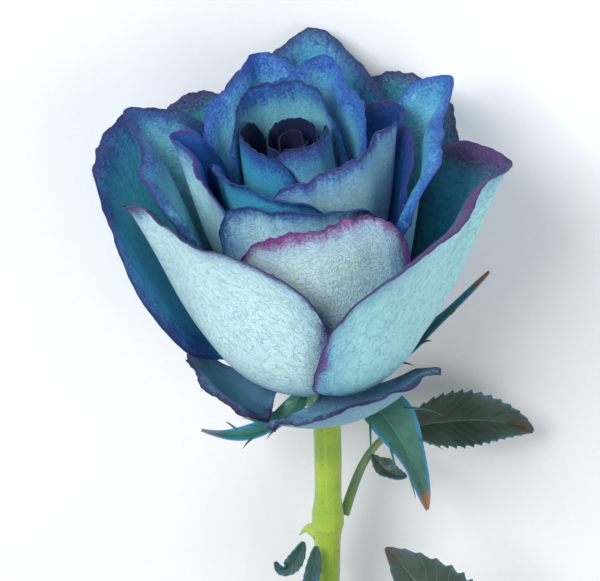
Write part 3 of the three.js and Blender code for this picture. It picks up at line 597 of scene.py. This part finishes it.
def leaf_look(name, upper, lower, rim_colour, tip_colour, vein_colour, side_veins):
    """Blade colours: mottled upper side, paler back, midrib and slanting side veins, dyed rim and tip."""
    look = Look(name, 0.55, under=0.05, coat=0.08)
    across, along, side, rim = (look.fact(n) for n in ("across", "along", "side", "rim"))
    cloud = look.noise(260.0, 5.0)
    speck = look.noise(1400.0, 2.0)
    body = look.mix(side.ramp(0.3, 0.7), lower, upper)
    body = look.mix(cloud.ramp(0.35, 0.7) * 0.5, body, tuple(0.45 * c for c in upper))
    midrib = 1 - abs(across).ramp(0.02, 0.1)
    slant = (along * side_veins - abs(across) * side_veins * 0.22) + (cloud - 0.5) * 0.35
    saw = abs(slant.join("FRACT", slant, 0.0) - 0.5)
    side_vein = 1 - saw.ramp(0.02, 0.1)
    line = midrib + side_vein * 0.6
    body = look.mix(line.ramp(0.0, 1.0) * 0.55, body, vein_colour)
    body = look.mix((1 - (rim + (cloud - 0.5) * 1.4).ramp(0.1, 1.0)) * 0.8, body, rim_colour)
    body = look.mix((along + (cloud - 0.5) * 0.25).ramp(0.86, 1.0) * 0.8, body, tip_colour)
    return look.finish(body, line * -0.7 + cloud * 0.5 + speck * 0.2, 0.00025)


def green_look(name, main, shade, streak, bump=0.00012):
    """Stem green: lengthwise streaks, cloudy shading and fine dark freckles."""
    look = Look(name, 0.42, under=0.08, coat=0.15)
    across, along = look.fact("across"), look.fact("along")
    cloud = look.noise(90.0, 4.0)
    speck = look.noise(1700.0, 2.0)
    lines = look.noise(1.0, 3.0, look.point(across * 6.0, along * 2.0, cloud * 0.3))
    colour = look.mix(cloud.ramp(0.35, 0.7), main, shade)
    colour = look.mix(lines.ramp(0.5, 0.75) * 0.55, colour, streak)
    colour = look.mix(speck.ramp(0.62, 0.72) * 0.45, colour, tuple(0.4 * c for c in shade))
    return look.finish(colour, lines * 0.6 + speck * 0.4, bump)


# ---- the head's lean, the laying down, and the place on the floor ----
def turned(axis, degrees):
    return np.array(Matrix.Rotation(math.radians(degrees), 3, axis))


HEAD = turned("Y", -HEAD_LEAN_LEFT) @ turned("X", HEAD_LEAN_FRONT)
LAID = turned("Y", LAY_ROLL) @ turned("X", LAY_RISE - 90)


def petal_shape(name):
    m = {**PETAL, **PETALS[name]}
    return leaned(thick_sheet(petal_surface(m), 120, 84, 0.4))


petals = {name: petal_shape(name) for name in PETALS}
offsets = []
for name, shape in petals.items():
    own = shape[0] @ LAID.T
    low, high = (np.array(v) * 1000 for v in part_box("petal_" + name))
    offsets.append((low + high) / 2 - (own.min(0) + own.max(0)) / 2)
SHIFT = np.median(np.array(offsets), 0)


def make(name, shape, material, nodes):
    """Put a shape into a mesh in metres, with its facts as point attributes, and hand it to the frame."""
    points, quads, caps, facts = shape
    placed = (points @ LAID.T + SHIFT) / 1000
    mesh = bpy.data.meshes.new(name)
    mesh.from_pydata(placed.tolist(), [], quads.tolist() + caps.tolist())
    for key, label in (("p", "across"), ("q", "along"), ("side", "side"), ("rim", "rim")):
        mesh.attributes.new(label, "FLOAT", "POINT").data.foreach_set("value", facts[key].astype(np.float32))
    mesh.polygons.foreach_set("use_smooth", np.ones(len(mesh.polygons), bool))
    mesh.materials.append(material)
    mesh.update()
    thing = bpy.data.objects.new(name, mesh)
    bpy.context.scene.collection.objects.link(thing)
    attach(thing, "root")
    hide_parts(*nodes)
    return thing


# Petals: the guards and the outer ring, the inner rings, and the closed heart.
GUARDS = ("guard_front", "guard_left")
OUTER = ("outer_back", "outer_back_mid", "outer_back_left", "outer_right", "outer_left", "front_mid")
for name, shape in petals.items():
    name in GUARDS
    name in OUTER
    make("rose_petal_" + name, shape, petal_look(name), ["petal_" + name])

# ---- sepals, hip and stamens, which lean with the head ----
sepal_green = leaf_look("sepal_green", (0.03, 0.17, 0.13), (0.10, 0.26, 0.12), (0.015, 0.22, 0.46),
                        (0.42, 0.16, 0.03), (0.12, 0.26, 0.12), 9.0)


def hair(start, way, length, thick=0.28):
    """A tapering thread on a curve that starts one way and droops: radius thick (1 - t)^0.7."""
    start, way = np.array(start, float), np.array(way, float)
    points = (start, start + way * length * 0.4, start + way * length * 0.75, start + way * length
              + np.array((0, 0, -0.18 * length)))
    return tube(lambda t: bezier(t, points), lambda t, a: thick * (1.02 - t) ** 0.7, 14, 7)


def sepal_shape(name, m):
    """The blade with its side threads grown out of the rim at fixed places along it."""
    surface = blade_surface(m, curl=1.5)
    parts = [thick_sheet(surface, 28, 64, 0.5)]
    for q, side in ((0.3, 1), (0.38, -1), (0.5, 1), (0.6, -1), (0.72, 1)):
        p, at = np.array(side * 0.8), np.array(q)
        dp, dq = slopes(surface, p, at)
        way = unit(side * unit(dp) + 0.9 * unit(dq))
        parts.append(hair(surface(p, at), way, 1.4 * m["width"] * (1.2 - q) + 1.2))
    return leaned(together(*parts))


for name, m in SEPALS.items():
    make("rose_" + name, sepal_shape(name, m), sepal_green, [name])

hip_green = green_look("hip_green", (0.12, 0.30, 0.10), (0.05, 0.17, 0.08), (0.30, 0.48, 0.22))
profile = ((0.05, -1 - HIP_LENGTH), (2.7, -1 - HIP_LENGTH), (3.3, -10.6), (5, -8.4), (HIP_RADIUS, -5.2),
           (HIP_RADIUS, -3.4), (6.6, -1.9), (6.2, -1.1), (4.5, 1), (1.9, 2.1), (1.3, 1.9), (0.05, 1.9))
make("rose_hip", leaned(lathe(profile, 72, 0.02)), hip_green, ["hip"])


def straight(x0, y0, z0, x1, y1, z1):
    return lambda t: bezier(t, ((x0, y0, z0), (x0 * 0.7 + x1 * 0.3, y0 * 0.7 + y1 * 0.3, z0 * 0.7 + z1 * 0.3),
                                (x0 * 0.3 + x1 * 0.7, y0 * 0.3 + y1 * 0.7, z0 * 0.3 + z1 * 0.7), (x1, y1, z1)))


threads = [tube(straight(0, 0, 2.3, 0, 0, 10), lambda t, a: 0.45 + 0.4 * t * t, 16, 12)]
threads.append(tube(straight(0, 0, 2.3, 0, 0, 3), lambda t, a: 1.25 + 0 * t, 4, 20))
for i in range(7):
    a = 2 * math.pi * i / 7
    line = straight(math.cos(a), math.sin(a), 2.5, 1.35 * math.cos(a), 1.35 * math.sin(a), 8.6)
    threads.append(tube(line, lambda t, a: 0.18 + 0.24 * smooth(t, 0.68, 0.78) + 0.02 * np.cos(2 * a), 24, 8))
stamen_gold = green_look("stamen_gold", (0.55, 0.36, 0.08), (0.38, 0.22, 0.05), (0.70, 0.52, 0.16), 0.00006)
make("rose_stamens", leaned(together(*threads)), stamen_gold, ["stamens"])

# ---- stem, with its nodes and thorns ----
stem_top = HEAD @ np.array((0, 0, -HIP_LENGTH - 1 - JOINT_GAP))
stem_start = HEAD @ np.array((0, 0, -HIP_LENGTH - 16))
stem_points = (stem_top, stem_start, (1.2, 0.8, -STEM_LENGTH * 0.6), (-1.5, 0, -STEM_LENGTH))


def stem_curve(t):
    return bezier(t, stem_points)


def stem_radius(t, a):
    """The radius, tapering 7 %, swollen by a bell curve at each node, faintly three-sided and knobbly."""
    z = stem_curve(t)[..., 2]
    r = STEM_RADIUS * (1 - 0.07 * t) + 0.05 * np.cos(3 * a)
    for height in NODE_HEIGHTS:
        r = r + 0.55 * np.exp(-(((z - height) / 3.2) ** 2)) * (1 + 0.12 * np.cos(a * 2 + height))
    ring = sum(np.exp(-(((z - height + 1.5) / 0.5) ** 2)) for height in NODE_HEIGHTS)
    return r + 0.03 * np.sin(9 * a + 20 * t) * np.cos(5 * a - 31 * t) + 0.14 * ring


def thorn(z, azimuth):
    """A hooked spike from inside the stem: radius 1.5 at its root falling to a point, bent down."""
    t = -(z + HIP_LENGTH) / (STEM_LENGTH - HIP_LENGTH)
    root = stem_curve(np.array(t))
    out = np.array((math.cos(math.radians(azimuth)), math.sin(math.radians(azimuth)), 0))
    middle = root + out * (STEM_RADIUS + 2)
    points = (root + out * STEM_RADIUS * 0.7, middle, middle, root + out * (STEM_RADIUS + 3.6) + (0, 0, -2.6))
    return tube(lambda s: bezier(s, points), lambda s, a: (0.12 + 1.38 * (1 - s**0.7)) * (1 + 0.5 * np.sin(a) ** 2),
                20, 16)


stem_green = green_look("stem_green", (0.36, 0.52, 0.05), (0.22, 0.38, 0.05), (0.50, 0.62, 0.12))
stem_shape = together(tube(stem_curve, stem_radius, 300, 48, 2.0), *(thorn(*place) for place in THORNS))
make("rose_stem", stem_shape, stem_green, ["stem"])

# ---- leaves and stipules ----
leaf_green = leaf_look("leaf_green", (0.045, 0.085, 0.065), (0.16, 0.22, 0.17), (0.03, 0.14, 0.20),
                       (0.10, 0.08, 0.05), (0.16, 0.22, 0.15), 13.0)
stalk_green = green_look("stalk_green", (0.15, 0.28, 0.08), (0.09, 0.18, 0.09), (0.26, 0.36, 0.14))
stipule_green = leaf_look("stipule_green", (0.03, 0.10, 0.09), (0.05, 0.16, 0.14), (0.02, 0.14, 0.22),
                          (0.06, 0.06, 0.05), (0.06, 0.18, 0.14), 8.0)


def stalk_radius(t, a):
    """Thicker at the foot, with a groove along its top."""
    return PETIOLE_RADIUS * (1.3 - 0.5 * t) * (1 - 0.16 * np.exp(-(((a - math.pi / 2) / 0.5) ** 2)))


for name, line in STALKS.items():
    shape = tube(lambda t: bezier(t, line), stalk_radius, 60, 24)
    make("rose_" + name, shape, stalk_green, [name])
for name, m in LEAFLETS.items():
    shape = thick_sheet(blade_surface(m, teeth=15 if m["width"] > 4 else 8, depth=0.16, curl=2.0), 56, 260, 0.4)
    make("rose_" + name, shape, leaf_green, [name])
for name, m in STIPULES.items():
    shape = thick_sheet(blade_surface(m, teeth=9, depth=0.14, curl=1.5), 24, 100, 0.4)
    make("rose_" + name, shape, stipule_green, [name])

# ---- floor, light and camera ----
floor_look = Look("floor_white", 0.85)
grain = floor_look.noise(900.0, 4.0)
floor_colour = floor_look.mix(grain, (0.80, 0.81, 0.85), (0.84, 0.85, 0.89))
floor_look.finish(floor_colour, grain, 0.00002)
ground = bpy.data.meshes.new("floor")
FLOOR_HALF = 3.0
corners = [(x * FLOOR_HALF, y * FLOOR_HALF, 0) for x, y in ((-1, -1), (1, -1), (1, 1), (-1, 1))]
ground.from_pydata(corners, [], [(0, 1, 2, 3)])
ground.materials.append(floor_look.material)
floor = bpy.data.objects.new("floor", ground)
bpy.context.scene.collection.objects.link(floor)
floor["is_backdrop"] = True

world = bpy.data.worlds.new("studio")
bpy.context.scene.world = world
world.use_nodes = True
world.node_tree.nodes["Background"].inputs[0].default_value = (0.95, 0.97, 1.0, 1)
world.node_tree.nodes["Background"].inputs[1].default_value = 0.46


def lamp(name, where, size, power):
    """A square area light aimed at the flower."""
    light = bpy.data.lights.new(name, "AREA")
    light.size = size
    light.energy = power
    thing = bpy.data.objects.new(name, light)
    thing.location = where
    aim = Vector((0, 0.03, 0.03)) - Vector(where)
    thing.rotation_euler = aim.to_track_quat("-Z", "Y").to_euler()
    bpy.context.scene.collection.objects.link(thing)


lamp("key", (-0.45, 0.6, 0.75), 0.45, 9.5)
lamp("fill", (0.6, 0.0, 0.9), 0.8, 3.4)

ELEVATION = math.radians(35)
DISTANCE = 700
VIEW_WIDTH = 113.2
AIM_RIGHT = -3.77
AIM_UP = 12.74
away = np.array((0, math.cos(ELEVATION), -math.sin(ELEVATION)))
right = np.array((1.0, 0, 0))
upward = np.array((0, math.sin(ELEVATION), math.cos(ELEVATION)))
target = right * AIM_RIGHT + upward * AIM_UP
eye = (LAID @ (target - away * DISTANCE) + SHIFT) / 1000
axes = np.stack([LAID @ right, LAID @ upward, LAID @ -away], 1)
lens = bpy.data.cameras.new("front")
lens.sensor_width = 36
lens.lens = lens.sensor_width * DISTANCE / VIEW_WIDTH
lens.clip_start = 0.01
camera = bpy.data.objects.new("front", lens)
camera.matrix_world = Matrix.Translation(Vector(eye)) @ Matrix(axes.tolist()).to_4x4()
bpy.context.scene.collection.objects.link(camera)
bpy.context.scene.camera = camera
bpy.context.scene.view_settings.view_transform = "Standard"

low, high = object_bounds()
